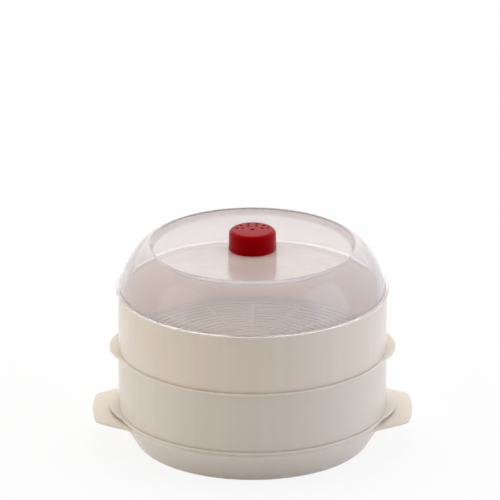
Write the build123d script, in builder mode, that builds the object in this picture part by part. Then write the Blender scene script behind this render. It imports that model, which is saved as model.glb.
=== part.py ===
"""Stacking microwave food steamer: water tray, two slotted tiers, domed lid and vent knob.

The origin is at the centre of the tray's underside, +Z is up and the tray's handles lie along X.
All sizes are in millimetres. The pieces are drawn stacked, as the set stands on a turntable.
"""

import os
from math import cos, hypot, radians, sin

from build123d import *

os.makedirs("parts", exist_ok=True)

# Stacking fit shared by all pieces: each stands on the rim below, and a spigot inside that rim centres it
WALL_R = 120.0
WALL_T = 2.0
SPIGOT_GAP = 0.4
SPIGOT_T = 1.8
SPIGOT_DROP = 3.0

# Water tray
TRAY_H = 32.0
TRAY_TAPER = 17.5
TRAY_CORNER = 5.0
TRAY_WALL_T = 2.0
BAND_REACH = 1.2
BAND_H = 4.0
TRAY_FLOOR_Z = 6.0
TRAY_FLOOR_T = 2.2
TRAY_COVE = 4.0
FOOT_W = 10.5

# Tray handles: flat plates at the rim, drawn in plan
HANDLE_REACH = 22.2
HANDLE_BOW = 3.9
HANDLE_HALF = 34.5
HANDLE_SLOPE = 0.64
HANDLE_T = 2.6
HANDLE_DROP = 1.2
HANDLE_CORNER_R = 9.0
HANDLE_ROOT_R = 14.0
HANDLE_BURY = 1.5
HANDLE_RUN = 40.0

# Tiers, with a flange that stands on the rim below and a lug at each side to lift by
TIER_H = 56.0
FLANGE_REACH = 2.0
FLANGE_T = 2.6
LUG_REACH = 6.0
LUG_ARC_R = 62.0
LUG_BLEND_R = 12.0
LEDGE_W = 4.3
LEDGE_T = 1.8

# Slotted floors, pressed in on the ledges
GRID_T = 2.0
GRID_GAP = 0.3
GRID_BORDER = 2.6
SLOT_PITCH = 6.6
SLOT_W = 3.2
RIB_W = 2.6
FINE_RINGS = 2
FINE_RIBS = 30
WIDE_RINGS = 11
WIDE_RIBS = 15

# Lid
LID_T = 1.8
LID_FLANGE_T = 1.8
LID_FOOT_INSET = 1.2
LID_SIDE_IN = 7.7
LID_SIDE_Z = 23.8
LID_CREST_IN = 27.0
LID_CREST_Z = 43.1
SINK_SLOPE = 3.8
SINK_DEPTH = 4.7

# Vent knob, with its holes over the windows in the lid
KNOB_R = 21.6
KNOB_H = 18.0
KNOB_WALL_T = 2.0
KNOB_ROUND = 2.6
KNOB_EASE = 0.8
KNOB_GAP = 0.3
STEM_R = 3.6
STEM_GAP = 0.1
SNAP_LIP = 0.7
SNAP_H = 2.4
BAFFLE_T = 1.6
VENT_R = 1.1
VENT_SIDES = 8
VENT_OUTER_PC = 14.3
VENT_INNER_PC = 9.4
VENT_OUTER_COUNT = 6
VENT_INNER_COUNT = 4
VENT_OUTER_SPAN = 152.0
VENT_INNER_SPAN = 140.0
WINDOW_MARGIN = 2.2
WINDOW_START = 12.0
WINDOW_END = 82.0
ARROW_L = 4.2
ARROW_W = 3.4
ARROW_D = 0.6

# Radii and levels that follow from the sizes above
RIM_IN_R = WALL_R - WALL_T
SPIGOT_R = RIM_IN_R - SPIGOT_GAP
SPIGOT_IN_R = SPIGOT_R - SPIGOT_T
FLANGE_R = WALL_R + FLANGE_REACH
BAND_R = WALL_R + BAND_REACH
TRAY_FOOT_R = WALL_R - TRAY_TAPER
TRAY_SLOPE = TRAY_TAPER / (TRAY_H - BAND_H)
HANDLE_X = BAND_R + HANDLE_REACH
LUG_X = FLANGE_R + LUG_REACH
LEDGE_R = SPIGOT_IN_R - LEDGE_W
GRID_R = SPIGOT_IN_R - GRID_GAP
GRID_DROP = SPIGOT_DROP - LEDGE_T
LID_FOOT_R = WALL_R - LID_FOOT_INSET
CREST_R = LID_FOOT_R - LID_CREST_IN
SINK_R = CREST_R - SINK_SLOPE
LOWER_Z = TRAY_H
UPPER_Z = LOWER_Z + TIER_H
LID_Z = UPPER_Z + TIER_H
CREST_Z = LID_Z + LID_CREST_Z
SINK_Z = CREST_Z - SINK_DEPTH
KNOB_Z = SINK_Z + KNOB_GAP


def tier_body(level):
    """Draw a tier in the current part, its flange standing on level, with spigot, ledge and lugs."""
    floor_z = level - GRID_DROP + GRID_T
    with BuildSketch(Plane.XZ) as section:
        with BuildLine():
            Polyline(
                (SPIGOT_R, level - SPIGOT_DROP),
                (SPIGOT_R, level),
                (FLANGE_R, level),
                (FLANGE_R, level + FLANGE_T),
                (WALL_R, level + FLANGE_T),
                (WALL_R, level + TIER_H),
                (RIM_IN_R, level + TIER_H),
                (RIM_IN_R, floor_z),
                (SPIGOT_IN_R, floor_z),
                (SPIGOT_IN_R, level - GRID_DROP),
                (LEDGE_R, level - GRID_DROP),
                (LEDGE_R, level - SPIGOT_DROP),
                close=True,
            )
        make_face()
    revolve(section.sketch, axis=Axis.Z)
    with BuildSketch(Plane.XY.offset(level)) as lugs:
        Circle(FLANGE_R)
        with Locations((LUG_X - LUG_ARC_R, 0), (LUG_ARC_R - LUG_X, 0)):
            Circle(LUG_ARC_R)
        waists = [v for v in lugs.vertices() if abs(hypot(v.X, v.Y) - FLANGE_R) < 0.01]
        fillet(waists, LUG_BLEND_R)
        Circle(WALL_R - WALL_T / 2, mode=Mode.SUBTRACT)
    extrude(lugs.sketch, amount=FLANGE_T)


def slot_ring(outer, ribs):
    """Cut one ring of straight-sided slots, ribs to the turn, from the current sketch."""
    half_turn = radians(180 / ribs)
    inner = outer - SLOT_W
    far = outer * cos(half_turn)
    near = inner * cos(half_turn)
    far_half = outer * sin(half_turn) - RIB_W / 2
    near_half = inner * sin(half_turn) - RIB_W / 2
    with PolarLocations(0, ribs, start_angle=90 + 180 / ribs):
        Polygon(
            (near, -near_half),
            (far, -far_half),
            (far, far_half),
            (near, near_half),
            align=None,
            mode=Mode.SUBTRACT,
        )


def grid_body(level):
    """Draw a slotted floor in the current part, on the ledge of the tier that stands on level."""
    with BuildSketch(Plane.XY.offset(level - GRID_DROP)) as plate:
        Circle(GRID_R)
        outer = GRID_R - GRID_BORDER
        for ring in range(FINE_RINGS):
            slot_ring(outer - ring * SLOT_PITCH, FINE_RIBS)
        outer = outer - FINE_RINGS * SLOT_PITCH
        for ring in range(WIDE_RINGS):
            slot_ring(outer - ring * SLOT_PITCH, WIDE_RIBS)
    extrude(plate.sketch, amount=GRID_T)


# Water tray: tapered wall with a rim band, floor raised on a foot ring, and two flat handles
with BuildPart() as base_tray:
    band_z = TRAY_H - BAND_H
    corner_r = TRAY_FOOT_R + TRAY_SLOPE * TRAY_CORNER
    floor_r = TRAY_FOOT_R + TRAY_SLOPE * TRAY_FLOOR_Z - TRAY_WALL_T
    cove_r = floor_r + TRAY_SLOPE * TRAY_COVE
    recess_r = TRAY_FOOT_R - FOOT_W
    with BuildSketch(Plane.XZ):
        with BuildLine():
            Polyline(
                (TRAY_FOOT_R - TRAY_CORNER, 0),
                (corner_r, TRAY_CORNER),
                (WALL_R, band_z),
                (BAND_R, band_z),
                (BAND_R, TRAY_H),
                (RIM_IN_R, TRAY_H),
                (RIM_IN_R, band_z),
                (cove_r, TRAY_FLOOR_Z + TRAY_COVE),
                (floor_r - TRAY_COVE, TRAY_FLOOR_Z),
                (0, TRAY_FLOOR_Z),
                (0, TRAY_FLOOR_Z - TRAY_FLOOR_T),
                (recess_r, TRAY_FLOOR_Z - TRAY_FLOOR_T),
                (recess_r, 0),
                close=True,
            )
        make_face()
    revolve(axis=Axis.Z)
    with BuildSketch(Plane.XY.offset(TRAY_H - HANDLE_DROP - HANDLE_T)) as grips:
        tip_x = HANDLE_X - HANDLE_BOW
        root_x = BAND_R - HANDLE_RUN
        root_y = HANDLE_HALF + (tip_x - root_x) * HANDLE_SLOPE
        Circle(BAND_R)
        with BuildLine():
            Line((root_x, root_y), (tip_x, HANDLE_HALF))
            ThreePointArc((tip_x, HANDLE_HALF), (HANDLE_X, 0), (tip_x, -HANDLE_HALF))
            Line((tip_x, -HANDLE_HALF), (root_x, -root_y))
            Line((root_x, -root_y), (root_x, root_y))
        make_face()
        mirror(about=Plane.YZ)
        tips = [v for v in grips.vertices() if abs(abs(v.X) - tip_x) < 0.01]
        fillet(tips, HANDLE_CORNER_R)
        on_band = [v for v in grips.vertices() if abs(hypot(v.X, v.Y) - BAND_R) < 0.01]
        roots = [v for v in on_band if abs(v.Y) > HANDLE_HALF]
        fillet(roots, HANDLE_ROOT_R)
        Circle(BAND_R - HANDLE_BURY, mode=Mode.SUBTRACT)
    extrude(amount=HANDLE_T)
base_tray.part.label = "base_tray"
export_step(base_tray.part, "parts/base_tray.step")

# Lower tier and its slotted floor
with BuildPart() as lower_tier:
    tier_body(LOWER_Z)
lower_tier.part.label = "lower_tier"
export_step(lower_tier.part, "parts/lower_tier.step")

with BuildPart() as lower_grid:
    grid_body(LOWER_Z)
lower_grid.part.label = "lower_grid"
export_step(lower_grid.part, "parts/lower_grid.step")

# Upper tier and its slotted floor, the same mouldings one tier higher
with BuildPart() as upper_tier:
    tier_body(UPPER_Z)
upper_tier.part.label = "upper_tier"
export_step(upper_tier.part, "parts/upper_tier.step")

with BuildPart() as upper_grid:
    grid_body(UPPER_Z)
upper_grid.part.label = "upper_grid"
export_step(upper_grid.part, "parts/upper_grid.step")

# Lid: domed side, crest and sunk top, with a bore and two vent windows under the knob
with BuildPart() as lid:
    with BuildSketch(Plane.XZ):
        with BuildLine():
            foot = Vector(LID_FOOT_R, LID_Z + LID_FLANGE_T)
            crest = Vector(CREST_R, CREST_Z)
            dome = Spline(foot, (LID_FOOT_R - LID_SIDE_IN, LID_Z + LID_SIDE_Z), crest)
            Polyline(
                crest,
                (SINK_R, SINK_Z),
                (0, SINK_Z),
                (0, SINK_Z - LID_T),
                (SINK_R + LID_T, SINK_Z - LID_T),
                (CREST_R, CREST_Z - LID_T),
            )
            along = dome % 0.5
            inside = dome @ 0.5 + Vector(-along.Y, along.X) * LID_T
            Spline((CREST_R, CREST_Z - LID_T), inside, (SPIGOT_IN_R, LID_Z - SPIGOT_DROP))
            Polyline(
                (SPIGOT_IN_R, LID_Z - SPIGOT_DROP),
                (SPIGOT_R, LID_Z - SPIGOT_DROP),
                (SPIGOT_R, LID_Z),
                (FLANGE_R, LID_Z),
                (FLANGE_R, LID_Z + LID_FLANGE_T),
                foot,
            )
        make_face()
    revolve(axis=Axis.Z)
    with BuildSketch(Plane.XY.offset(SINK_Z)):
        Circle(STEM_R + STEM_GAP)
        near = VENT_INNER_PC - WINDOW_MARGIN
        far = VENT_OUTER_PC + WINDOW_MARGIN
        middle = radians((WINDOW_START + WINDOW_END) / 2)
        start = radians(WINDOW_START)
        end = radians(WINDOW_END)
        Polygon(
            (near * cos(start), near * sin(start)),
            (far * cos(start), far * sin(start)),
            (far * cos(middle), far * sin(middle)),
            (far * cos(end), far * sin(end)),
            (near * cos(end), near * sin(end)),
            align=None,
        )
        mirror(about=Plane.YZ)
    extrude(amount=-LID_T, mode=Mode.SUBTRACT)
lid.part.label = "lid"
export_step(lid.part, "parts/lid.step")

# Vent knob: cap, baffle, stem and snap head in one moulding that turns in the lid's bore
with BuildPart() as vent_knob:
    top_z = KNOB_Z + KNOB_H
    inner_r = KNOB_R - KNOB_WALL_T
    ceiling_z = top_z - KNOB_WALL_T
    head_z = SINK_Z - LID_T - KNOB_GAP
    with BuildSketch(Plane.XZ):
        with BuildLine():
            Polyline(
                (KNOB_R, top_z - KNOB_ROUND),
                (KNOB_R - KNOB_EASE, top_z - KNOB_EASE),
                (KNOB_R - KNOB_ROUND, top_z),
                (0, top_z),
                (0, head_z - SNAP_H),
                (STEM_R - SNAP_LIP, head_z - SNAP_H),
                (STEM_R + SNAP_LIP, head_z),
                (STEM_R, head_z),
                (STEM_R, ceiling_z),
                (inner_r, ceiling_z),
                (inner_r, KNOB_Z),
                (KNOB_R, KNOB_Z),
                close=True,
            )
        make_face()
    revolve(axis=Axis.Z)
    with BuildSketch(Plane.XY.offset(KNOB_Z)):
        Rectangle(2 * inner_r + KNOB_WALL_T, BAFFLE_T)
    extrude(amount=KNOB_H - KNOB_WALL_T)
    outer_start = 90 - VENT_OUTER_SPAN / 2
    inner_start = 90 - VENT_INNER_SPAN / 2
    with BuildSketch(Plane.XY.offset(top_z)):
        with PolarLocations(VENT_OUTER_PC, VENT_OUTER_COUNT, outer_start, VENT_OUTER_SPAN, endpoint=True):
            RegularPolygon(VENT_R, VENT_SIDES)
        with PolarLocations(VENT_INNER_PC, VENT_INNER_COUNT, inner_start, VENT_INNER_SPAN, endpoint=True):
            RegularPolygon(VENT_R, VENT_SIDES)
    extrude(amount=-KNOB_WALL_T, mode=Mode.SUBTRACT)
    with BuildSketch(Plane.XY.offset(top_z)):
        Polygon((-ARROW_W / 2, ARROW_L / 2), (ARROW_W / 2, ARROW_L / 2), (0, -ARROW_L / 2), align=None)
    extrude(amount=-ARROW_D, mode=Mode.SUBTRACT)
vent_knob.part.label = "vent_knob"
export_step(vent_knob.part, "parts/vent_knob.step")
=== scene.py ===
"""Dress the stacking microwave food steamer: turned tray, tiers, lid and vent knob around the CAD frame."""

import logging
import math
from dataclasses import dataclass
from enum import Enum
from itertools import pairwise
from typing import Any, Callable, Sequence

import bmesh
import bpy
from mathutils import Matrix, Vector


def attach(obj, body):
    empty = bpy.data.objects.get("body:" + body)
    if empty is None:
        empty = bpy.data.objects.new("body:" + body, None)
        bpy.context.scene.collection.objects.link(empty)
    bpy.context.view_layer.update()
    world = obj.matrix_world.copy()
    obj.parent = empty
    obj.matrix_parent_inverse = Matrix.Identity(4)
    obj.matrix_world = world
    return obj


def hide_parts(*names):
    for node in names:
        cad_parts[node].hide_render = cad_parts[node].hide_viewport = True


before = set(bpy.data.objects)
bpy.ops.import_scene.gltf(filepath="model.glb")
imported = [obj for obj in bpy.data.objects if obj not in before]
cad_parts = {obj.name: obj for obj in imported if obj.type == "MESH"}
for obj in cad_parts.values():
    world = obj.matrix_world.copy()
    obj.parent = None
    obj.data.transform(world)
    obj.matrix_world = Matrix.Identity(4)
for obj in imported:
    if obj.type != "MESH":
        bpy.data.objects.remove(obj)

LOG = logging.getLogger("steamer")
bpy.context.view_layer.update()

# A millimetre in metres, and what counts in mm as the same place, as a double and as a sliver
MM = 0.001
NEAR_MM = 0.02
DOUBLE_MM = 0.001
SLIVER_MM = 0.01

# Faces that meet at less than this many degrees are shaded as one
SMOOTH_DEG = 30.0

# Sides of a turned piece, and of a ring plate that follows an outline
TURN_SIDES = 192
PLATE_SIDES = 720

# A ring plate's least width, how far out its rounded edges begin, the most by which such an edge
# may lead in or out, all in mm, and the steps of the rounding
PLATE_LEAST_MM = 0.5
PLATE_OUTER_MM = 0.4
PLATE_LEAD_MM = 5.0
PLATE_STEPS = 4

# Stacking sizes in mm, as the CAD has them
WALL_R = 120.0
RIM_IN_R = 118.0
SPIGOT_R = 117.6
SPIGOT_IN_R = 115.8
SPIGOT_DROP = 3.0
SEAT_LIFT = 0.1
TRAY_H = 32.0
TIER_H = 56.0
LOWER_Z = TRAY_H
UPPER_Z = LOWER_Z + TIER_H
LID_Z = UPPER_Z + TIER_H


class Body(Enum):
    """The CAD bodies that pieces ride on."""

    TRAY = "tray"
    LOWER = "lower"
    UPPER = "upper"
    COVER = "cover"
    KNOB = "knob"


class Slot(Enum):
    """The record's material slots."""

    CREAM = "cream_plastic"
    GRID = "grid_plastic"
    FROSTED = "frosted_plastic"
    RED = "red_plastic"


class Tint(Enum):
    """Colours in sRGB hex."""

    CREAM = "#EBE1D2"
    CREAM_STREAK = "#E9DED0"
    GRID = "#EBE3D9"
    GRID_STREAK = "#E8DED2"
    FROST = "#FDF8F6"
    FROST_CLOUD = "#FAF4F3"
    HAZE = "#BBB6BE"
    RED = "#A80009"
    RED_DEEP = "#9C0007"
    RED_GLEAM = "#FF3A30"
    WHITE = "#FFFFFF"
    FLOOR = "#F4F3F2"
    SKY = "#F3F1F0"
    COOL = "#D8E2FF"


def linear(tint: Tint) -> tuple[float, float, float, float]:
    """Turn an sRGB hex colour into linear RGBA.

    Args:
        tint: The colour.

    Returns:
        Linear red, green and blue, and an alpha of 1.
    """
    parts = [int(tint.value[i : i + 2], 16) / 255.0 for i in (1, 3, 5)]
    red, green, blue = (p / 12.92 if p <= 0.04045 else ((p + 0.055) / 1.055) ** 2.4 for p in parts)
    return red, green, blue, 1.0


def add_node(
    tree: bpy.types.NodeTree,
    kind: str,
    inputs: dict[str | int, Any] | None = None,
    **settings: Any,
) -> bpy.types.Node:
    """Add a node with its settings, values and links.

    Args:
        tree: The node tree.
        kind: The node's type name.
        inputs: Input socket names or numbers, each with a value or with the socket to link.
        settings: The node's own properties.

    Returns:
        The new node.
    """
    node = tree.nodes.new(kind)
    for key, value in settings.items():
        setattr(node, key, value)
    for key, value in (inputs or {}).items():
        if isinstance(value, bpy.types.NodeSocket):
            tree.links.new(value, node.inputs[key])
        else:
            node.inputs[key].default_value = value
    return node


def empty_material(name: str) -> bpy.types.Material:
    """Make a material with an empty node tree.

    Args:
        name: The material's name.

    Returns:
        The material.
    """
    material = bpy.data.materials.new(name)
    material.use_nodes = True
    material.node_tree.nodes.clear()
    return material


@dataclass(frozen=True)
class MouldedPolypropylene:
    """Opaque polypropylene, injection moulded: soft gloss, faint flow streaks upwards, a little depth."""

    name: str
    tint: Tint
    streak: Tint
    roughness: float = 0.13
    roughness_swing: float = 0.02
    ior: float = 1.49
    streak_mm: float = 9.0
    streak_run_mm: float = 160.0
    streak_detail: float = 3.0
    streak_from: float = 0.35
    streak_to: float = 0.65
    grain_mm: float = 1.6
    grain_depth_mm: float = 0.01
    grain_detail: float = 4.0
    grain_strength: float = 0.35
    depth_share: float = 1.0
    depth_mm: float = 2.2
    depth_by_colour: tuple[float, float, float] = (1.0, 0.97, 0.92)

    def material(self) -> bpy.types.Material:
        """Build the material.

        Returns:
            The moulded plastic.
        """
        made = empty_material(self.name)
        tree = made.node_tree
        place = add_node(tree, "ShaderNodeTexCoord")
        across, along = 1.0 / (self.streak_mm * MM), 1.0 / (self.streak_run_mm * MM)
        stretch = add_node(
            tree,
            "ShaderNodeMapping",
            {"Vector": place.outputs["Object"], "Scale": (across, across, along)},
        )
        streaks = add_node(
            tree,
            "ShaderNodeTexNoise",
            {"Vector": stretch.outputs[0], "Scale": 1.0, "Detail": self.streak_detail},
        )
        share = add_node(
            tree,
            "ShaderNodeMapRange",
            {"Value": streaks.outputs[0], "From Min": self.streak_from, "From Max": self.streak_to},
        )
        colour = add_node(
            tree,
            "ShaderNodeMix",
            {0: share.outputs[0], 6: linear(self.tint), 7: linear(self.streak)},
            data_type="RGBA",
        )
        # A moulded satin is finer than a pixel, so the grain is drawn about three times too coarse
        grain = add_node(
            tree,
            "ShaderNodeTexNoise",
            {
                "Vector": place.outputs["Object"],
                "Scale": 1.0 / (self.grain_mm * MM),
                "Detail": self.grain_detail,
            },
        )
        gloss = add_node(
            tree,
            "ShaderNodeMapRange",
            {
                "Value": grain.outputs[0],
                "To Min": self.roughness - self.roughness_swing,
                "To Max": self.roughness + self.roughness_swing,
            },
        )
        bump = add_node(
            tree,
            "ShaderNodeBump",
            {
                "Height": grain.outputs[0],
                "Strength": self.grain_strength,
                "Distance": self.grain_depth_mm * MM,
            },
        )
        shader = add_node(
            tree,
            "ShaderNodeBsdfPrincipled",
            {
                "Base Color": colour.outputs[2],
                "Roughness": gloss.outputs[0],
                "Normal": bump.outputs[0],
                "IOR": self.ior,
                "Subsurface Weight": self.depth_share,
                "Subsurface Radius": self.depth_by_colour,
                "Subsurface Scale": self.depth_mm * MM,
            },
        )
        add_node(tree, "ShaderNodeOutputMaterial", {"Surface": shader.outputs[0]})
        return made


@dataclass(frozen=True)
class FrostedPolypropylene:
    """Clear polypropylene left natural: milky and hazy, so what is behind it shows soft and pale."""

    name: str
    tint: Tint
    cloud: Tint
    haze: Tint
    roughness: float = 0.05
    ior: float = 1.15
    cloud_mm: float = 30.0
    cloud_detail: float = 2.0
    see_through: float = 0.74
    haze_density: float = 24.0
    skin_share: float = 1.0
    skin_roughness: float = 0.2
    skin_ior: float = 1.35

    def material(self) -> bpy.types.Material:
        """Build the material.

        Returns:
            The frosted plastic.
        """
        made = empty_material(self.name)
        tree = made.node_tree
        place = add_node(tree, "ShaderNodeTexCoord")
        clouds = add_node(
            tree,
            "ShaderNodeTexNoise",
            {
                "Vector": place.outputs["Object"],
                "Scale": 1.0 / (self.cloud_mm * MM),
                "Detail": self.cloud_detail,
            },
        )
        colour = add_node(
            tree,
            "ShaderNodeMix",
            {0: clouds.outputs[0], 6: linear(self.tint), 7: linear(self.cloud)},
            data_type="RGBA",
        )
        shader = add_node(
            tree,
            "ShaderNodeBsdfPrincipled",
            {
                "Base Color": colour.outputs[2],
                "Roughness": self.roughness,
                "IOR": self.ior,
                "Transmission Weight": self.see_through,
                "Coat Weight": self.skin_share,
                "Coat Roughness": self.skin_roughness,
                "Coat IOR": self.skin_ior,
            },
        )
        haze = add_node(
            tree,
            "ShaderNodeVolumeAbsorption",
            {"Color": linear(self.haze), "Density": self.haze_density},
        )
        add_node(
            tree,
            "ShaderNodeOutputMaterial",
            {"Surface": shader.outputs[0], "Volume": haze.outputs[0]},
        )
        return made


@dataclass(frozen=True)
class GlossyRedPlastic:
    """Red polypropylene from a polished tool: deep colour, clear reflections, a trace of orange peel."""

    name: str
    tint: Tint
    deep: Tint
    gleam: Tint
    roughness: float = 0.07
    gloss_ior: float = 1.24
    swirl_mm: float = 9.0
    swirl_detail: float = 3.0
    peel_mm: float = 3.0
    peel_depth_mm: float = 0.03
    peel_detail: float = 1.0
    peel_strength: float = 0.25

    def material(self) -> bpy.types.Material:
        """Build the material.

        Returns:
            The red plastic.
        """
        made = empty_material(self.name)
        tree = made.node_tree
        place = add_node(tree, "ShaderNodeTexCoord")
        swirl = add_node(
            tree,
            "ShaderNodeTexNoise",
            {
                "Vector": place.outputs["Object"],
                "Scale": 1.0 / (self.swirl_mm * MM),
                "Detail": self.swirl_detail,
            },
        )
        colour = add_node(
            tree,
            "ShaderNodeMix",
            {0: swirl.outputs[0], 6: linear(self.tint), 7: linear(self.deep)},
            data_type="RGBA",
        )
        peel = add_node(
            tree,
            "ShaderNodeTexNoise",
            {
                "Vector": place.outputs["Object"],
                "Scale": 1.0 / (self.peel_mm * MM),
                "Detail": self.peel_detail,
            },
        )
        bump = add_node(
            tree,
            "ShaderNodeBump",
            {
                "Height": peel.outputs[0],
                "Strength": self.peel_strength,
                "Distance": self.peel_depth_mm * MM,
            },
        )
        shader = add_node(
            tree,
            "ShaderNodeBsdfPrincipled",
            {
                "Base Color": colour.outputs[2],
                "Roughness": self.roughness,
                "Normal": bump.outputs[0],
                "IOR": self.gloss_ior,
                "Specular Tint": linear(self.gleam),
            },
        )
        add_node(tree, "ShaderNodeOutputMaterial", {"Surface": shader.outputs[0]})
        return made


@dataclass(frozen=True)
class Ring:
    """One ring of a turned profile, in mm, with how far its corner is eased back and in how many steps."""

    radius: float
    height: float
    ease: float = 0.0
    steps: int = 3

    def raised(self, lift: float) -> "Ring":
        """Give the same ring at a greater height."""
        return Ring(self.radius, self.height + lift, self.ease, self.steps)


def select_only(obj: bpy.types.Object) -> None:
    """Select one object alone and make it active.

    Args:
        obj: The object.
    """
    bpy.ops.object.select_all(action="DESELECT")
    obj.select_set(True)
    bpy.context.view_layer.objects.active = obj


def start_circle(name: str, radius: float, height: float, segments: int, fill: str) -> bpy.types.Object:
    """Add a circle, its place in its mesh, and leave it in edit mode with all selected.

    Args:
        name: The object's name.
        radius: Radius in mm.
        height: Height in mm.
        segments: Number of sides.
        fill: Blender's fill type.

    Returns:
        The circle's object.
    """
    bpy.ops.object.select_all(action="DESELECT")
    bpy.ops.mesh.primitive_circle_add(
        vertices=segments, radius=radius * MM, fill_type=fill, location=(0.0, 0.0, height * MM)
    )
    obj = bpy.context.object
    obj.name = name
    bpy.ops.object.transform_apply(location=True, rotation=True, scale=True)
    bpy.ops.object.mode_set(mode="EDIT")
    bpy.ops.mesh.select_mode(type="VERT")
    bpy.ops.mesh.select_all(action="SELECT")
    return obj


def pick_edges(obj: bpy.types.Object, wanted: Callable[[Vector, Vector], bool]) -> None:
    """Select the edges that meet a test.

    Args:
        obj: The object, in edit mode.
        wanted: The test, on an edge's two ends in mm.
    """
    bpy.ops.mesh.select_mode(type="EDGE")
    bpy.ops.mesh.select_all(action="DESELECT")
    net = bmesh.from_edit_mesh(obj.data)
    for edge in net.edges:
        near, far = (v.co / MM for v in edge.verts)
        edge.select_set(wanted(near, far))
    bmesh.update_edit_mesh(obj.data)


def pick_faces(obj: bpy.types.Object, wanted: Callable[[Vector], bool]) -> None:
    """Select the faces that meet a test.

    Args:
        obj: The object, in edit mode.
        wanted: The test, on a face's middle in mm.
    """
    bpy.ops.mesh.select_mode(type="FACE")
    bpy.ops.mesh.select_all(action="DESELECT")
    net = bmesh.from_edit_mesh(obj.data)
    for face in net.faces:
        face.select_set(wanted(face.calc_center_median() / MM))
    bmesh.update_edit_mesh(obj.data)


def on_ring(point: Vector, ring: Ring) -> bool:
    """Tell whether a point, in mm, lies on a ring."""
    return abs(math.hypot(point.x, point.y) - ring.radius) < NEAR_MM and abs(point.z - ring.height) < NEAR_MM


def close_mesh() -> None:
    """Merge doubles, turn normals outwards, leave edit mode and shade smooth."""
    bpy.ops.mesh.select_mode(type="VERT")
    bpy.ops.mesh.select_all(action="SELECT")
    bpy.ops.mesh.remove_doubles(threshold=DOUBLE_MM * MM)
    bpy.ops.mesh.normals_make_consistent(inside=False)
    bpy.ops.object.mode_set(mode="OBJECT")
    bpy.ops.object.shade_smooth_by_angle(angle=math.radians(SMOOTH_DEG))


def turn(
    name: str, rings: Sequence[Ring], segments: int = TURN_SIDES, capped: bool = False
) -> bpy.types.Object:
    """Turn a profile about the vertical axis by extruding and resizing a circle from ring to ring.

    Args:
        name: The object's name.
        rings: The profile; a radius of 0 closes it at the axis, a last ring like the first closes a loop.
        segments: Sides to the turn.
        capped: Whether the first ring is closed by a flat disc.

    Returns:
        The turned object, in object mode.
    """
    first = rings[0]
    obj = start_circle(name, first.radius, first.height, segments, "TRIFAN" if capped else "NOTHING")
    if capped:
        bpy.ops.mesh.region_to_loop()
    for before, ring in pairwise(rings):
        rise = (ring.height - before.height) * MM
        bpy.ops.mesh.extrude_region_move(TRANSFORM_OT_translate={"value": (0.0, 0.0, rise)})
        if ring.radius == 0.0:
            bpy.ops.mesh.merge(type="CENTER")
            break
        scale = ring.radius / before.radius
        bpy.ops.transform.resize(value=(scale, scale, 1.0), center_override=(0.0, 0.0, 0.0))
    bpy.ops.mesh.select_all(action="SELECT")
    bpy.ops.mesh.remove_doubles(threshold=DOUBLE_MM * MM)
    bpy.ops.mesh.normals_make_consistent(inside=False)
    for ring in rings:
        if ring.ease > 0.0:
            pick_edges(obj, lambda a, b: on_ring(a, ring) and on_ring(b, ring))
            bpy.ops.mesh.bevel(
                offset=ring.ease * MM, segments=ring.steps, affect="EDGES", clamp_overlap=True
            )
    close_mesh()
    return obj


def plate(
    name: str,
    inner: float,
    outline: Callable[[float], float],
    bottom: float,
    top: float,
    edge: float,
) -> bpy.types.Object:
    """Make a flat ring plate whose outer edge follows an outline, with both outer edges rounded.

    Args:
        name: The object's name.
        inner: Inner radius in mm.
        outline: Outer radius in mm for an azimuth in radians; where it is within the inner radius, no plate.
        bottom: Height of the underside in mm.
        top: Height of the upper face in mm.
        edge: Rounding of the outer edges in mm.

    Returns:
        The plate, in object mode.
    """

    def is_outer(a: Vector, b: Vector) -> bool:
        """Tell whether an edge, by its ends in mm, is one of the outer edges to round."""
        near, far = sorted(math.hypot(end.x, end.y) for end in (a, b))
        level = abs(a.z - b.z) < NEAR_MM
        return level and near > inner + PLATE_OUTER_MM and far - near < PLATE_LEAD_MM

    obj = start_circle(name, inner, bottom, PLATE_SIDES, "NOTHING")
    bpy.ops.mesh.extrude_region_move(TRANSFORM_OT_translate={"value": (0.0, 0.0, 0.0)})
    net = bmesh.from_edit_mesh(obj.data)
    for vertex in net.verts:
        if vertex.select:
            around = math.atan2(vertex.co.y, vertex.co.x)
            reach = max(outline(around), inner + PLATE_LEAST_MM) * MM
            vertex.co.x, vertex.co.y = reach * math.cos(around), reach * math.sin(around)
    bmesh.update_edit_mesh(obj.data)
    pick_faces(obj, lambda c: outline(math.atan2(c.y, c.x)) <= inner)
    bpy.ops.mesh.delete(type="FACE")
    bpy.ops.mesh.select_all(action="SELECT")
    bpy.ops.mesh.extrude_region_move(TRANSFORM_OT_translate={"value": (0.0, 0.0, (top - bottom) * MM)})
    bpy.ops.mesh.select_all(action="SELECT")
    bpy.ops.mesh.normals_make_consistent(inside=False)
    pick_edges(obj, is_outer)
    bpy.ops.mesh.bevel(offset=edge * MM, segments=PLATE_STEPS, affect="EDGES", clamp_overlap=True)
    close_mesh()
    return obj


def join(main_piece: bpy.types.Object, *others: bpy.types.Object) -> bpy.types.Object:
    """Join objects into the first one.

    Args:
        main_piece: The object that stays.
        others: The objects that join it.

    Returns:
        The joined object.
    """
    select_only(main_piece)
    for other in others:
        other.select_set(True)
    bpy.ops.object.join()
    return main_piece


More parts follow.
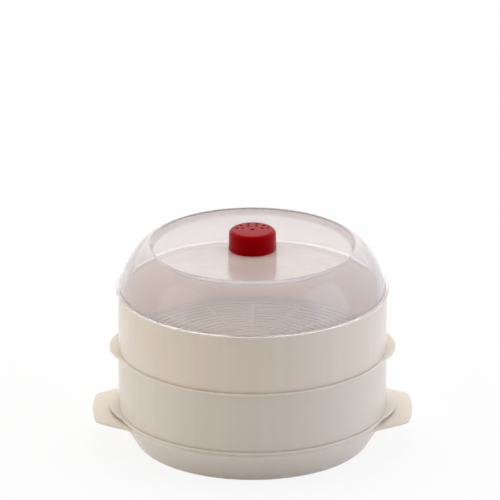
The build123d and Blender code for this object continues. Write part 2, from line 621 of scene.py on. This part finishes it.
def combine(piece: bpy.types.Object, other: bpy.types.Object, operation: str) -> bpy.types.Object:
    """Unite a piece with another object, or cut the other out of it, and clear the slivers that this leaves.

    Args:
        piece: The piece that stays.
        other: The object that is used up.
        operation: Blender's name for the operation.

    Returns:
        The piece, shaded smooth again.
    """
    select_only(piece)
    modifier = piece.modifiers.new("combine", "BOOLEAN")
    modifier.operation = operation
    modifier.solver = "EXACT"
    modifier.object = other
    bpy.ops.object.modifier_apply(modifier=modifier.name)
    bpy.data.objects.remove(other)
    bpy.ops.object.mode_set(mode="EDIT")
    bpy.ops.mesh.select_mode(type="VERT")
    bpy.ops.mesh.select_all(action="SELECT")
    bpy.ops.mesh.remove_doubles(threshold=SLIVER_MM * MM)
    bpy.ops.mesh.dissolve_degenerate(threshold=SLIVER_MM * MM)
    bpy.ops.object.mode_set(mode="OBJECT")
    bpy.ops.object.shade_smooth_by_angle(angle=math.radians(SMOOTH_DEG))
    return piece


def raised_copy(piece: bpy.types.Object, name: str, lift: float) -> bpy.types.Object:
    """Copy a piece, with its own mesh, to a greater height.

    Args:
        piece: The piece to copy.
        name: The copy's name.
        lift: How much higher in mm.

    Returns:
        The copy, its place in its mesh.
    """
    select_only(piece)
    bpy.ops.object.duplicate(linked=False)
    copy = bpy.context.object
    copy.name = name
    bpy.ops.transform.translate(value=(0.0, 0.0, lift * MM))
    bpy.ops.object.transform_apply(location=True, rotation=True, scale=True)
    return copy


def soft_max(a: float, b: float, blend: float) -> float:
    """Give the larger of two lengths, blended where they are nearly equal.

    Args:
        a: One length.
        b: The other length.
        blend: How wide the blend is.

    Returns:
        The blended maximum.
    """
    near = max(blend - abs(a - b), 0.0) / blend
    return max(a, b) + near * near * blend / 4.0


def soft_min(a: float, b: float, blend: float) -> float:
    """Give the smaller of two lengths, blended where they are nearly equal."""
    return -soft_max(-a, -b, blend)


@dataclass
class Moulding:
    """A moulded sub-assembly: its finish, and the record's slot for that finish."""

    finish: bpy.types.Material
    slot: Slot = Slot.CREAM

    def dress(self, piece: bpy.types.Object, body: Body, node: str) -> None:
        """Give a piece its finish and body, and hide the CAD node that it stands for.

        Args:
            piece: The finished piece.
            body: The body that it rides on.
            node: The CAD node that it replaces.
        """
        piece.data.materials.clear()
        piece.data.materials.append(self.finish)
        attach(piece, body.value)
        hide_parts(node)
        LOG.info("%s: %d faces, rides on %s", piece.name, len(piece.data.polygons), body.value)


@dataclass
class Tray(Moulding):
    """The water tray in mm: tapered wall, rim band, raised floor, gate mark and two flat handles."""

    foot_r: float = 102.5
    recess_r: float = 92.0
    recess_z: float = 3.8
    floor_r: float = 104.5
    floor_z: float = 6.0
    band_r: float = 121.2
    band_z: float = TRAY_H - 4.0
    handle_x: float = 143.4
    handle_bow: float = 3.9
    handle_half: float = 34.5
    handle_slope: float = 0.64
    handle_top: float = TRAY_H - 1.2
    handle_bottom: float = TRAY_H - 3.8
    handle_round: float = 0.9
    handle_let_in: float = 1.5
    handle_fade: float = 0.6
    handle_span_deg: float = 40.0
    tip_blend: float = 5.0
    root_blend: float = 6.0
    gate_r: float = 1.8
    gate_pit_r: float = 0.9
    gate_rise: float = 0.3
    gate_pit_rise: float = 0.15
    gate_sides: int = 32

    def handle_outline(self, around: float) -> float:
        """Give the handles' outer radius.

        Args:
            around: Azimuth in radians.

        Returns:
            Radius in mm, or 0 away from the handles.
        """
        c, s = abs(math.cos(around)), abs(math.sin(around))
        if math.atan2(s, c) > math.radians(self.handle_span_deg):
            return 0.0
        tip_x = self.handle_x - self.handle_bow
        side = (self.handle_half + tip_x * self.handle_slope) / (s + self.handle_slope * c)
        bow_r = (self.handle_half**2 + self.handle_bow**2) / (2.0 * self.handle_bow)
        centre = self.handle_x - bow_r
        end = centre * c + math.sqrt(bow_r**2 - (centre * s) ** 2)
        reach = soft_min(side, end, self.tip_blend)
        return soft_max(reach, self.band_r - self.handle_fade, self.root_blend)

    def build(self) -> bpy.types.Object:
        """Model the tray.

        Returns:
            The tray's object.
        """
        body = turn(
            "tray_moulding",
            [
                Ring(self.recess_r, self.recess_z, ease=0.8),
                Ring(self.recess_r, 0.0, ease=0.6),
                Ring(self.foot_r, 0.0, ease=4.5, steps=6),
                Ring(WALL_R, self.band_z, ease=0.5),
                Ring(self.band_r, self.band_z, ease=0.5),
                Ring(self.band_r, TRAY_H, ease=0.9, steps=4),
                Ring(RIM_IN_R, TRAY_H, ease=0.8, steps=4),
                Ring(RIM_IN_R, self.band_z, ease=1.5),
                Ring(self.floor_r, self.floor_z, ease=6.0, steps=6),
                Ring(0.0, self.floor_z),
            ],
            capped=True,
        )
        handles = plate(
            "tray_handles",
            self.band_r - self.handle_let_in,
            self.handle_outline,
            self.handle_bottom,
            self.handle_top,
            self.handle_round,
        )
        gate = turn(
            "tray_gate",
            [
                Ring(self.gate_r, self.floor_z - self.gate_rise),
                Ring(self.gate_r, self.floor_z + self.gate_rise, ease=0.2),
                Ring(self.gate_pit_r, self.floor_z + self.gate_rise, ease=0.15),
                Ring(0.0, self.floor_z + self.gate_pit_rise),
            ],
            segments=self.gate_sides,
            capped=True,
        )
        return combine(combine(body, handles, "UNION"), gate, "UNION")


@dataclass
class Tier(Moulding):
    """A tier in mm: upright wall, spigot and ledge below, flange with a lug at each side."""

    flange_r: float = 122.0
    flange_top: float = 2.6
    flange_round: float = 0.7
    flange_let_in: float = 1.0
    wall_z: float = 0.5
    ledge_r: float = 111.5
    ledge_z: float = -1.2
    floor_z: float = 0.8
    lug_x: float = 128.0
    lug_arc_r: float = 62.0
    lug_blend: float = 3.0

    def flange_outline(self, around: float) -> float:
        """Give the flange's outer radius, lugs included.

        Args:
            around: Azimuth in radians.

        Returns:
            Radius in mm.
        """
        c, s = abs(math.cos(around)), abs(math.sin(around))
        centre = self.lug_x - self.lug_arc_r
        inside = self.lug_arc_r**2 - (centre * s) ** 2
        lug = centre * c + math.sqrt(inside) if inside > 0.0 else 0.0
        return soft_max(self.flange_r, lug, self.lug_blend)

    def build(self, name: str, level: float) -> bpy.types.Object:
        """Model a tier.

        Args:
            name: The object's name.
            level: Height in mm of the rim that it stands on.

        Returns:
            The tier's object.
        """
        profile = [
            Ring(SPIGOT_R, -SPIGOT_DROP, ease=0.5),
            Ring(SPIGOT_R, self.wall_z),
            Ring(WALL_R, self.wall_z),
            Ring(WALL_R, TIER_H, ease=0.7, steps=4),
            Ring(RIM_IN_R, TIER_H, ease=0.7, steps=4),
            Ring(RIM_IN_R, self.floor_z, ease=0.3),
            Ring(SPIGOT_IN_R, self.floor_z, ease=0.3),
            Ring(SPIGOT_IN_R, self.ledge_z),
            Ring(self.ledge_r, self.ledge_z, ease=0.4),
            Ring(self.ledge_r, -SPIGOT_DROP, ease=0.4),
            Ring(SPIGOT_R, -SPIGOT_DROP),
        ]
        wall = turn(name, [ring.raised(level) for ring in profile])
        flange = plate(
            name + "_flange",
            WALL_R - self.flange_let_in,
            self.flange_outline,
            level + SEAT_LIFT,
            level + self.flange_top,
            self.flange_round,
        )
        return combine(wall, flange, "UNION")


@dataclass
class SlottedFloor(Moulding):
    """A slotted floor in mm: rings of slots between ribs, pressed in on a tier's ledge."""

    slot: Slot = Slot.GRID
    radius: float = 115.5
    border: float = 2.6
    thickness: float = 2.0
    drop: float = 1.2
    pitch: float = 6.6
    slot_w: float = 2.5
    fine_rings: int = 2
    fine_ribs: int = 30
    wide_rings: int = 11
    wide_ribs: int = 15
    fine_rib_deg: float = 1.0
    wide_rib_deg: float = 2.0
    first_rib_deg: float = 90.0
    sides: int = 360

    def is_slot(self, middle: Vector) -> bool:
        """Tell whether a face of the plate is in a slot.

        Args:
            middle: The face's middle in mm.

        Returns:
            True where the face is cut away.
        """
        inward = self.radius - self.border - math.hypot(middle.x, middle.y)
        ring, across = divmod(inward, self.pitch)
        if inward < 0.0 or across > self.slot_w or ring >= self.fine_rings + self.wide_rings:
            return False
        fine = ring < self.fine_rings
        sector = 360.0 / (self.fine_ribs if fine else self.wide_ribs)
        half_rib = (self.fine_rib_deg if fine else self.wide_rib_deg) / 2.0
        turned = (math.degrees(math.atan2(middle.y, middle.x)) - self.first_rib_deg + half_rib) % sector
        return turned > 2.0 * half_rib

    def build(self, name: str, level: float) -> bpy.types.Object:
        """Model a slotted floor.

        Args:
            name: The object's name.
            level: Height in mm of the rim that its tier stands on.

        Returns:
            The floor's object.
        """
        under = level - self.drop
        radii = [self.radius]
        for ring in range(self.fine_rings + self.wide_rings):
            outer = self.radius - self.border - ring * self.pitch
            radii += [outer, outer - self.slot_w]
        obj = start_circle(name, self.radius, under, self.sides, "NOTHING")
        for before, after in pairwise(radii):
            scale = after / before
            bpy.ops.mesh.extrude_region_move(TRANSFORM_OT_translate={"value": (0.0, 0.0, 0.0)})
            bpy.ops.transform.resize(value=(scale, scale, 1.0), center_override=(0.0, 0.0, 0.0))
        bpy.ops.mesh.extrude_region_move(TRANSFORM_OT_translate={"value": (0.0, 0.0, 0.0)})
        bpy.ops.mesh.merge(type="CENTER")
        pick_faces(obj, self.is_slot)
        bpy.ops.mesh.delete(type="FACE")
        bpy.ops.mesh.select_all(action="SELECT")
        bpy.ops.mesh.extrude_region_move(
            TRANSFORM_OT_translate={"value": (0.0, 0.0, self.thickness * MM)}
        )
        close_mesh()
        return obj


@dataclass
class Lid(Moulding):
    """The lid in mm: flange, spigot, domed side, crest, sunk top, stem bore and two vent windows."""

    slot: Slot = Slot.FROSTED
    flange_r: float = 122.0
    flange_top: float = 1.8
    foot_r: float = 118.8
    crest_r: float = 91.8
    crest_z: float = 43.1
    dome_low: tuple[float, float] = (116.2, 16.0)
    dome_high: tuple[float, float] = (106.5, 38.5)
    inside_low: tuple[float, float] = (115.3, 14.0)
    inside_high: tuple[float, float] = (105.0, 36.9)
    sink_r: float = 88.0
    sink_z: float = 38.4
    wall: float = 1.8
    bore_r: float = 3.7
    window_near: float = 7.2
    window_far: float = 16.5
    window_start_deg: float = 12.0
    window_end_deg: float = 82.0
    window_slack_deg: float = 0.1
    window_past: float = 1.0
    window_round: float = 0.2
    samples: int = 18

    def curve(self, a: Vector, b: Vector, c: Vector, d: Vector) -> list[Ring]:
        """Sample a cubic curve of the profile, its ends included.

        Args:
            a: Start, as radius and height in mm.
            b: First control point.
            c: Second control point.
            d: End.

        Returns:
            Rings along the curve.
        """
        rings = []
        for i in range(self.samples + 1):
            t = i / self.samples
            u = 1.0 - t
            p = a * u**3 + b * (3 * u * u * t) + c * (3 * u * t * t) + d * t**3
            rings.append(Ring(p.x, p.y))
        return rings

    def window_outline(self, around: float) -> float:
        """Give the outer radius of the two vent windows.

        Args:
            around: Azimuth in radians.

        Returns:
            Radius in mm, or 0 away from the windows.
        """
        turned = math.degrees(math.atan2(math.sin(around), abs(math.cos(around))))
        first = self.window_start_deg - self.window_slack_deg
        last = self.window_end_deg + self.window_slack_deg
        return self.window_far if first < turned < last else 0.0

    def build(self, level: float) -> bpy.types.Object:
        """Model the lid.

        Args:
            level: Height in mm of the rim that it stands on.

        Returns:
            The lid's object.
        """
        foot, crest = Vector((self.foot_r, self.flange_top)), Vector((self.crest_r, self.crest_z))
        hem = Vector((SPIGOT_IN_R, -SPIGOT_DROP))
        under_crest = Vector((self.crest_r, self.crest_z - self.wall))
        outside = self.curve(foot, Vector(self.dome_low), Vector(self.dome_high), crest)
        inside = self.curve(hem, Vector(self.inside_low), Vector(self.inside_high), under_crest)
        profile = [
            Ring(self.bore_r, self.sink_z - self.wall),
            Ring(self.sink_r + self.wall, self.sink_z - self.wall, ease=0.8),
            *reversed(inside),
            Ring(SPIGOT_R, -SPIGOT_DROP, ease=0.4),
            Ring(SPIGOT_R, SEAT_LIFT),
            Ring(self.flange_r, SEAT_LIFT, ease=0.5),
            Ring(self.flange_r, self.flange_top, ease=0.6),
            *outside[:-1],
            Ring(crest.x, crest.y, ease=1.1, steps=5),
            Ring(self.sink_r, self.sink_z, ease=1.2, steps=4),
            Ring(self.bore_r, self.sink_z),
            Ring(self.bore_r, self.sink_z - self.wall),
        ]
        lid = turn("lid_moulding", [ring.raised(level) for ring in profile])
        top = level + self.sink_z
        windows = plate(
            "lid_windows",
            self.window_near,
            self.window_outline,
            top - self.wall - self.window_past,
            top + self.window_past,
            self.window_round,
        )
        return combine(lid, windows, "DIFFERENCE")


@dataclass
class VentKnob(Moulding):
    """The vent knob in mm: cap with a rounded shoulder, vents, pointer recess, baffle, stem and snap head."""

    slot: Slot = Slot.RED
    foot_r: float = 21.6
    top_r: float = 20.9
    foot_z: float = LID_Z + 38.7
    top_z: float = LID_Z + 56.7
    wall: float = 2.0
    stem_r: float = 3.6
    snap_r: float = 4.3
    snap_tip_r: float = 2.9
    snap_z: float = LID_Z + 36.3
    snap_tip_z: float = LID_Z + 33.9
    sides: int = 128
    vent_r: float = 1.45
    vent_past: float = 0.5
    vent_sides: int = 20
    outer_pc: float = 14.3
    inner_pc: float = 9.4
    outer_count: int = 6
    inner_count: int = 4
    outer_span_deg: float = 152.0
    inner_span_deg: float = 140.0
    vents_face_deg: float = 90.0
    pointer_r: float = 3.0
    pointer_depth: float = 1.0
    pointer_sides: int = 3
    baffle_half: float = 20.0
    baffle_t: float = 1.6
    baffle_lift: float = 0.3
    baffle_let_in: float = 0.5

    def peg(
        self, x: float, y: float, radius: float, depth: float, sides: int, turned: float = 0.0
    ) -> bpy.types.Object:
        """Add a cutter peg in the cap's top.

        Args:
            x: Place across in mm.
            y: Place back in mm.
            radius: Radius in mm.
            depth: Depth below the top in mm.
            sides: Number of sides.
            turned: Turn about the vertical in radians.

        Returns:
            The peg.
        """
        bpy.ops.object.select_all(action="DESELECT")
        bpy.ops.mesh.primitive_cylinder_add(
            vertices=sides,
            radius=radius * MM,
            depth=2.0 * depth * MM,
            location=(x * MM, y * MM, self.top_z * MM),
            rotation=(0.0, 0.0, turned),
        )
        bpy.ops.object.transform_apply(location=True, rotation=True, scale=True)
        return bpy.context.object

    def vents(self) -> list[bpy.types.Object]:
        """Add the cutter pegs for all the vent holes.

        Returns:
            The pegs.
        """
        depth = self.wall + self.vent_past
        pegs = []
        for circle, count, span in (
            (self.outer_pc, self.outer_count, self.outer_span_deg),
            (self.inner_pc, self.inner_count, self.inner_span_deg),
        ):
            for i in range(count):
                angle = math.radians(self.vents_face_deg - span / 2.0 + span * i / (count - 1))
                x, y = circle * math.cos(angle), circle * math.sin(angle)
                pegs.append(self.peg(x, y, self.vent_r, depth, self.vent_sides))
        return pegs

    def baffle(self, ceiling: float) -> bpy.types.Object:
        """Add the upright plate across the inside of the cap, which parts the vents from the closed half.

        Args:
            ceiling: Height in mm of the cap's inner face.

        Returns:
            The plate, its ends and top let into the cap.
        """
        bottom, top = self.foot_z + self.baffle_lift, ceiling + self.baffle_let_in
        bpy.ops.object.select_all(action="DESELECT")
        bpy.ops.mesh.primitive_cube_add(
            size=1.0,
            location=(0.0, 0.0, (bottom + top) / 2.0 * MM),
            scale=(2.0 * self.baffle_half * MM, self.baffle_t * MM, (top - bottom) * MM),
        )
        bpy.ops.object.transform_apply(location=True, rotation=True, scale=True)
        return bpy.context.object

    def build(self) -> bpy.types.Object:
        """Model the knob.

        Returns:
            The knob's object.
        """
        ceiling = self.top_z - self.wall
        knob = turn(
            "vent_knob_moulding",
            [
                Ring(self.snap_tip_r, self.snap_tip_z, ease=0.4),
                Ring(self.snap_r, self.snap_z, ease=0.2),
                Ring(self.stem_r, self.snap_z),
                Ring(self.stem_r, ceiling, ease=0.5),
                Ring(self.top_r - self.wall, ceiling, ease=1.0),
                Ring(self.foot_r - self.wall, self.foot_z, ease=0.3),
                Ring(self.foot_r, self.foot_z, ease=0.6, steps=4),
                Ring(self.top_r, self.top_z, ease=3.6, steps=10),
                Ring(0.0, self.top_z),
            ],
            segments=self.sides,
            capped=True,
        )
        knob = combine(knob, self.baffle(ceiling), "UNION")
        knob = combine(knob, join(*self.vents()), "DIFFERENCE")
        pointer = self.peg(0.0, 0.0, self.pointer_r, self.pointer_depth, self.pointer_sides, math.pi)
        return combine(knob, pointer, "DIFFERENCE")


@dataclass(frozen=True)
class SoftBox:
    """A soft box: place and size in metres, power in watts, colour, and whether gloss mirrors it."""

    name: str
    place: tuple[float, float, float]
    size: tuple[float, float]
    power: float
    tint: Tint = Tint.WHITE
    mirrored: bool = False

    def hang(self, target: Vector) -> None:
        """Hang the box, out of the camera's sight.

        Args:
            target: The point that it faces, in metres.
        """
        data = bpy.data.lights.new(self.name, "AREA")
        data.shape = "RECTANGLE"
        data.size, data.size_y = self.size
        data.energy = self.power
        data.color = linear(self.tint)[:3]
        obj = bpy.data.objects.new(self.name, data)
        bpy.context.scene.collection.objects.link(obj)
        obj.location = self.place
        obj.rotation_euler = (target - Vector(self.place)).to_track_quat("-Z", "Y").to_euler()
        obj.visible_camera = False
        obj.visible_glossy = self.mirrored


@dataclass
class Studio:
    """The studio: white sweep, a sky that dims towards the front, soft boxes and the photograph's camera.

    Lengths are in metres, angles in degrees. The two fades run along the sky's Y, from front to back.
    """

    distance: float = 10.0
    elevation: float = 20.8
    frame_width: float = 0.4457
    aim: tuple[float, float, float] = (-0.0022, 0.0, 0.181)
    sensor_mm: float = 36.0
    clip_end: float = 100.0
    sky_level: float = 0.66
    front_level: float = 0.22
    light_fade: tuple[float, float] = (-0.9, 0.4)
    front_gleam: float = 0.05
    gleam_fade: tuple[float, float] = (-0.5, 0.5)
    floor_size: float = 60.0
    floor_glow: float = 0.88
    floor_gleam: float = 0.65
    lit_point: tuple[float, float, float] = (0.0, 0.0, 0.15)
    boxes: tuple[SoftBox, ...] = (
        SoftBox("left_box", (-1.5, -0.5, 0.8), (1.0, 1.4), 7.5, mirrored=True),
        SoftBox("right_box", (1.5, -0.45, 0.8), (1.0, 1.4), 10.5, Tint.COOL, mirrored=True),
        SoftBox("top_box", (0.0, 0.4, 1.7), (1.2, 1.0), 11.0),
        SoftBox("back_box", (0.0, 1.9, 0.7), (1.8, 1.0), 10.0),
    )

    def sky(self) -> None:
        """Build the world: white to the camera and through the lid, dimmer in front as light and in gloss."""
        world = bpy.data.worlds.new("white_studio")
        bpy.context.scene.world = world
        world.use_nodes = True
        tree = world.node_tree
        tree.nodes.clear()
        path = add_node(tree, "ShaderNodeLightPath")
        seen = add_node(
            tree,
            "ShaderNodeMath",
            {0: path.outputs["Is Camera Ray"], 1: path.outputs["Is Transmission Ray"]},
            operation="MAXIMUM",
        )
        way = add_node(tree, "ShaderNodeTexCoord")
        part = add_node(tree, "ShaderNodeSeparateXYZ", {0: way.outputs["Generated"]})
        depth, mirror = (
            add_node(
                tree,
                "ShaderNodeMapRange",
                {
                    "Value": part.outputs["Y"],
                    "From Min": front,
                    "From Max": back,
                    "To Min": least,
                    "To Max": 1.0,
                },
                interpolation_type="SMOOTHSTEP",
            )
            for (front, back), least in (
                (self.light_fade, self.front_level),
                (self.gleam_fade, self.front_gleam),
            )
        )
        gleam = add_node(
            tree, "ShaderNodeBackground", {"Color": linear(Tint.WHITE), "Strength": mirror.outputs[0]}
        )
        level = add_node(
            tree, "ShaderNodeMath", {0: depth.outputs[0], 1: self.sky_level}, operation="MULTIPLY"
        )
        light = add_node(
            tree, "ShaderNodeBackground", {"Color": linear(Tint.SKY), "Strength": level.outputs[0]}
        )
        white = add_node(tree, "ShaderNodeBackground", {"Color": linear(Tint.WHITE), "Strength": 1.0})
        lit = add_node(
            tree,
            "ShaderNodeMixShader",
            {0: path.outputs["Is Glossy Ray"], 1: light.outputs[0], 2: gleam.outputs[0]},
        )
        both = add_node(
            tree,
            "ShaderNodeMixShader",
            {0: seen.outputs[0], 1: lit.outputs[0], 2: white.outputs[0]},
        )
        add_node(tree, "ShaderNodeOutputWorld", {"Surface": both.outputs[0]})

    def floor(self) -> None:
        """Lay the pale floor, which stays white to the camera but keeps a soft shadow."""
        bpy.ops.object.select_all(action="DESELECT")
        bpy.ops.mesh.primitive_plane_add(size=self.floor_size)
        obj = bpy.context.object
        obj.name = "studio_floor"
        # Matt paper sweep: no gloss at all, a white ground with only the shadow of the tray on it
        made = empty_material("matt_white_sweep")
        tree = made.node_tree
        path = add_node(tree, "ShaderNodeLightPath")
        seen = add_node(
            tree,
            "ShaderNodeMath",
            {0: path.outputs["Is Camera Ray"], 1: path.outputs["Is Transmission Ray"]},
            operation="MAXIMUM",
        )
        shown = add_node(
            tree,
            "ShaderNodeMath",
            {0: path.outputs["Is Glossy Ray"], 1: self.floor_gleam, 2: seen.outputs[0]},
            operation="MULTIPLY_ADD",
            use_clamp=True,
        )
        glow_share = add_node(
            tree, "ShaderNodeMath", {0: shown.outputs[0], 1: self.floor_glow}, operation="MULTIPLY"
        )
        matt = add_node(tree, "ShaderNodeBsdfDiffuse", {"Color": linear(Tint.FLOOR)})
        glow = add_node(tree, "ShaderNodeEmission", {"Color": linear(Tint.WHITE), "Strength": 1.0})
        both = add_node(
            tree,
            "ShaderNodeMixShader",
            {0: glow_share.outputs[0], 1: matt.outputs[0], 2: glow.outputs[0]},
        )
        add_node(tree, "ShaderNodeOutputMaterial", {"Surface": both.outputs[0]})
        obj.data.materials.append(made)

    def camera(self) -> None:
        """Stand the camera far off at the photograph's angle."""
        data = bpy.data.cameras.new("photo_camera")
        data.sensor_width = self.sensor_mm
        data.lens = data.sensor_width * self.distance / self.frame_width
        data.clip_end = self.clip_end
        obj = bpy.data.objects.new("photo_camera", data)
        bpy.context.scene.collection.objects.link(obj)
        tilt = math.radians(self.elevation)
        back = Vector((0.0, -math.cos(tilt), math.sin(tilt)))
        obj.location = Vector(self.aim) + back * self.distance
        obj.rotation_euler = (-back).to_track_quat("-Z", "Y").to_euler()
        bpy.context.scene.camera = obj

    def build(self) -> None:
        """Set up view, sky, floor, soft boxes and camera."""
        bpy.context.scene.view_settings.view_transform = "Standard"
        self.sky()
        self.floor()
        for box in self.boxes:
            box.hang(Vector(self.lit_point))
        self.camera()


def main() -> None:
    """Model and dress every piece, then set the studio."""
    logging.basicConfig(level=logging.INFO, format="%(message)s")
    # Tier walls, moulded satin: broad soft gleams, warm light in the thin wall, faint upright streaks
    cream = MouldedPolypropylene("moulded_cream_polypropylene", Tint.CREAM, Tint.CREAM_STREAK).material()
    # Slotted floors, the same satin in a whiter batch: pale ribs against the dark of the slots
    pale = MouldedPolypropylene("moulded_pale_polypropylene", Tint.GRID, Tint.GRID_STREAK).material()
    # Tray, moulded in a polished tool: the cream of the tiers with narrower, clearer gleams
    glossy = MouldedPolypropylene(
        "polished_cream_polypropylene", Tint.CREAM, Tint.CREAM_STREAK, roughness=0.06
    ).material()
    # Lid, unpigmented and thin: a milky veil with a blurred gleam, greyer where its edge is seen along
    frost = FrostedPolypropylene(
        "frosted_natural_polypropylene", Tint.FROST, Tint.FROST_CLOUD, Tint.HAZE
    ).material()
    # Knob, pigmented and polished: a deep even red, with a pale sheen on its top
    red = GlossyRedPlastic(
        "polished_red_polypropylene", Tint.RED, Tint.RED_DEEP, Tint.RED_GLEAM
    ).material()

    tray, tier, slotted = Tray(glossy), Tier(cream), SlottedFloor(pale)
    lid, knob = Lid(frost), VentKnob(red)
    tray.dress(tray.build(), Body.TRAY, "base_tray")
    lower = tier.build("lower_tier_moulding", LOWER_Z)
    upper = raised_copy(lower, "upper_tier_moulding", TIER_H)
    lower_floor = slotted.build("lower_slotted_floor", LOWER_Z)
    upper_floor = raised_copy(lower_floor, "upper_slotted_floor", TIER_H)
    tier.dress(lower, Body.LOWER, "lower_tier")
    slotted.dress(lower_floor, Body.LOWER, "lower_grid")
    tier.dress(upper, Body.UPPER, "upper_tier")
    slotted.dress(upper_floor, Body.UPPER, "upper_grid")
    lid.dress(lid.build(LID_Z), Body.COVER, "lid")
    knob.dress(knob.build(), Body.KNOB, "vent_knob")
    Studio().build()


if __name__ == "__main__":
    main()
